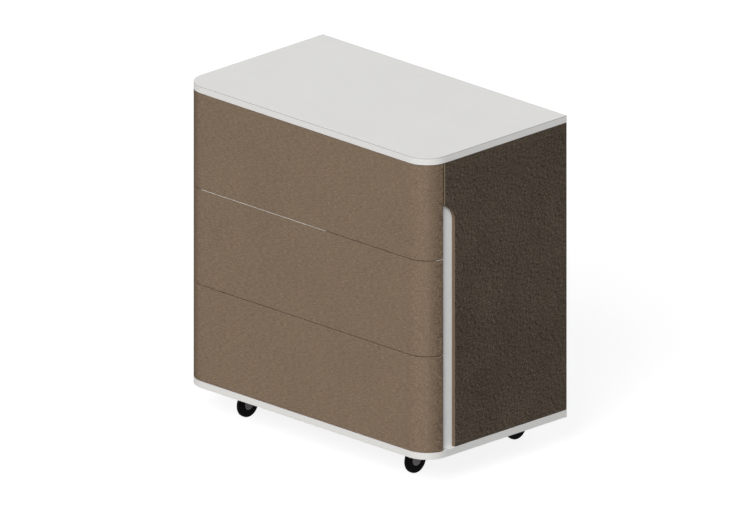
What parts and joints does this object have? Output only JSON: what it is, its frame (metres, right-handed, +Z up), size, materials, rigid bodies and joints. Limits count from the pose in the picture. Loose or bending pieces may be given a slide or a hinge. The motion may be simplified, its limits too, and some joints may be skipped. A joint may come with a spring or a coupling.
{
  "type": "mobile drawer pedestal",
  "caption": "Low chest of drawers on casters: full-width brown leather-look fronts wrap round rounded front corners between white top and base plates, finger notches in the sides.",
  "frame": {"origin": "on the floor, under the middle of the casing", "axes": "+X to the right along the width, -Y out of the drawer fronts, +Z up"},
  "size_m": [0.55, 0.315, 0.5615],
  "materials": {
    "white_lacquer": "satin white lacquer on board",
    "board_lacquer": "satin white lacquer on board",
    "front_leather": "matt embossed leather-look cladding, soft mottling",
    "side_leather": "matt embossed leather-look cladding, darker, coarse grain",
    "box_board": "white melamine on board",
    "bottom_board": "white hardboard",
    "beech": "plain beech",
    "zinc_rail": "zinc-plated sheet steel",
    "zinc_screw": "zinc-plated steel",
    "caster_zinc": "zinc-plated steel",
    "caster_arm": "black glass-filled nylon",
    "hub_grey": "dark grey plastic",
    "tyre_black": "black rubber"
  },
  "bodies": {
    "casing": {"top_plate": "white_lacquer", "base_plate": "white_lacquer", "left_side_panel": "side_leather", "left_side_board": "board_lacquer", "right_side_panel": "side_leather", "right_side_board": "board_lacquer", "back_panel": "side_leather", "dowels": "beech", "base_screws": "zinc_screw", "cabinet_rails": "zinc_rail", "rail_screws": "zinc_screw", "caster_plates": "caster_zinc", "caster_screws": "zinc_screw", "caster_kingpins": "caster_zinc"},
    "lower_drawer": {"lower_drawer_cladding": "front_leather", "lower_drawer_front_board": "white_lacquer", "lower_drawer_box_front": "box_board", "lower_drawer_box_left": "box_board", "lower_drawer_box_right": "box_board", "lower_drawer_box_back": "box_board", "lower_drawer_bottom": "bottom_board", "lower_drawer_rails": "zinc_rail", "lower_drawer_screws": "zinc_screw"},
    "lower_carriers": {"lower_slide_carriers": "zinc_rail"},
    "middle_drawer": {"middle_drawer_cladding": "front_leather", "middle_drawer_front_board": "white_lacquer", "middle_drawer_box_front": "box_board", "middle_drawer_box_left": "box_board", "middle_drawer_box_right": "box_board", "middle_drawer_box_back": "box_board", "middle_drawer_bottom": "bottom_board", "middle_drawer_rails": "zinc_rail", "middle_drawer_screws": "zinc_screw"},
    "middle_carriers": {"middle_slide_carriers": "zinc_rail"},
    "upper_drawer": {"upper_drawer_cladding": "front_leather", "upper_drawer_front_board": "white_lacquer", "upper_drawer_box_front": "box_board", "upper_drawer_box_left": "box_board", "upper_drawer_box_right": "box_board", "upper_drawer_box_back": "box_board", "upper_drawer_bottom": "bottom_board", "upper_drawer_rails": "zinc_rail", "upper_drawer_screws": "zinc_screw"},
    "upper_carriers": {"upper_slide_carriers": "zinc_rail"},
    "caster_front_left_swivel": {"caster_front_left_arm": "caster_arm", "caster_front_left_axle": "caster_zinc"},
    "caster_front_left_wheel": {"caster_front_left_hub": "hub_grey", "caster_front_left_tyre": "tyre_black"},
    "caster_front_right_swivel": {"caster_front_right_arm": "caster_arm", "caster_front_right_axle": "caster_zinc"},
    "caster_front_right_wheel": {"caster_front_right_hub": "hub_grey", "caster_front_right_tyre": "tyre_black"},
    "caster_rear_left_swivel": {"caster_rear_left_arm": "caster_arm", "caster_rear_left_axle": "caster_zinc"},
    "caster_rear_left_wheel": {"caster_rear_left_hub": "hub_grey", "caster_rear_left_tyre": "tyre_black"},
    "caster_rear_right_swivel": {"caster_rear_right_arm": "caster_arm", "caster_rear_right_axle": "caster_zinc"},
    "caster_rear_right_wheel": {"caster_rear_right_hub": "hub_grey", "caster_rear_right_tyre": "tyre_black"}
  },
  "joints": [
    {"name": "lower_drawer_slide", "type": "slide", "parent": "casing", "child": "lower_drawer", "axis": [0, -1, 0], "range_m": [0, 0.25]},
    {"name": "lower_carrier_slide", "type": "slide", "parent": "casing", "child": "lower_carriers", "axis": [0, -1, 0], "range_m": [0, 0.125]},
    {"name": "middle_drawer_slide", "type": "slide", "parent": "casing", "child": "middle_drawer", "axis": [0, -1, 0], "range_m": [0, 0.25]},
    {"name": "middle_carrier_slide", "type": "slide", "parent": "casing", "child": "middle_carriers", "axis": [0, -1, 0], "range_m": [0, 0.125]},
    {"name": "upper_drawer_slide", "type": "slide", "parent": "casing", "child": "upper_drawer", "axis": [0, -1, 0], "range_m": [0, 0.25]},
    {"name": "upper_carrier_slide", "type": "slide", "parent": "casing", "child": "upper_carriers", "axis": [0, -1, 0], "range_m": [0, 0.125]},
    {"name": "caster_front_left_swivel", "type": "hinge", "parent": "casing", "child": "caster_front_left_swivel", "pos_m": [-0.189, -0.1135, 0.047], "axis": [0, 0, 1], "continuous": true},
    {"name": "caster_front_left_roll", "type": "hinge", "parent": "caster_front_left_swivel", "child": "caster_front_left_wheel", "pos_m": [-0.189, -0.0985, 0.022], "axis": [1, 0, 0], "continuous": true},
    {"name": "caster_front_right_swivel", "type": "hinge", "parent": "casing", "child": "caster_front_right_swivel", "pos_m": [0.189, -0.1135, 0.047], "axis": [0, 0, 1], "continuous": true},
    {"name": "caster_front_right_roll", "type": "hinge", "parent": "caster_front_right_swivel", "child": "caster_front_right_wheel", "pos_m": [0.189, -0.0985, 0.022], "axis": [1, 0, 0], "continuous": true},
    {"name": "caster_rear_left_swivel", "type": "hinge", "parent": "casing", "child": "caster_rear_left_swivel", "pos_m": [-0.189, 0.1135, 0.047], "axis": [0, 0, 1], "continuous": true},
    {"name": "caster_rear_left_roll", "type": "hinge", "parent": "caster_rear_left_swivel", "child": "caster_rear_left_wheel", "pos_m": [-0.189, 0.1285, 0.022], "axis": [1, 0, 0], "continuous": true},
    {"name": "caster_rear_right_swivel", "type": "hinge", "parent": "casing", "child": "caster_rear_right_swivel", "pos_m": [0.189, 0.1135, 0.047], "axis": [0, 0, 1], "continuous": true},
    {"name": "caster_rear_right_roll", "type": "hinge", "parent": "caster_rear_right_swivel", "child": "caster_rear_right_wheel", "pos_m": [0.189, 0.1285, 0.022], "axis": [1, 0, 0], "continuous": true}
  ],
  "couplings": [
    {"joint": "lower_carrier_slide", "follows": "lower_drawer_slide", "ratio": 0.5},
    {"joint": "middle_carrier_slide", "follows": "middle_drawer_slide", "ratio": 0.5},
    {"joint": "upper_carrier_slide", "follows": "upper_drawer_slide", "ratio": 0.5}
  ]
}
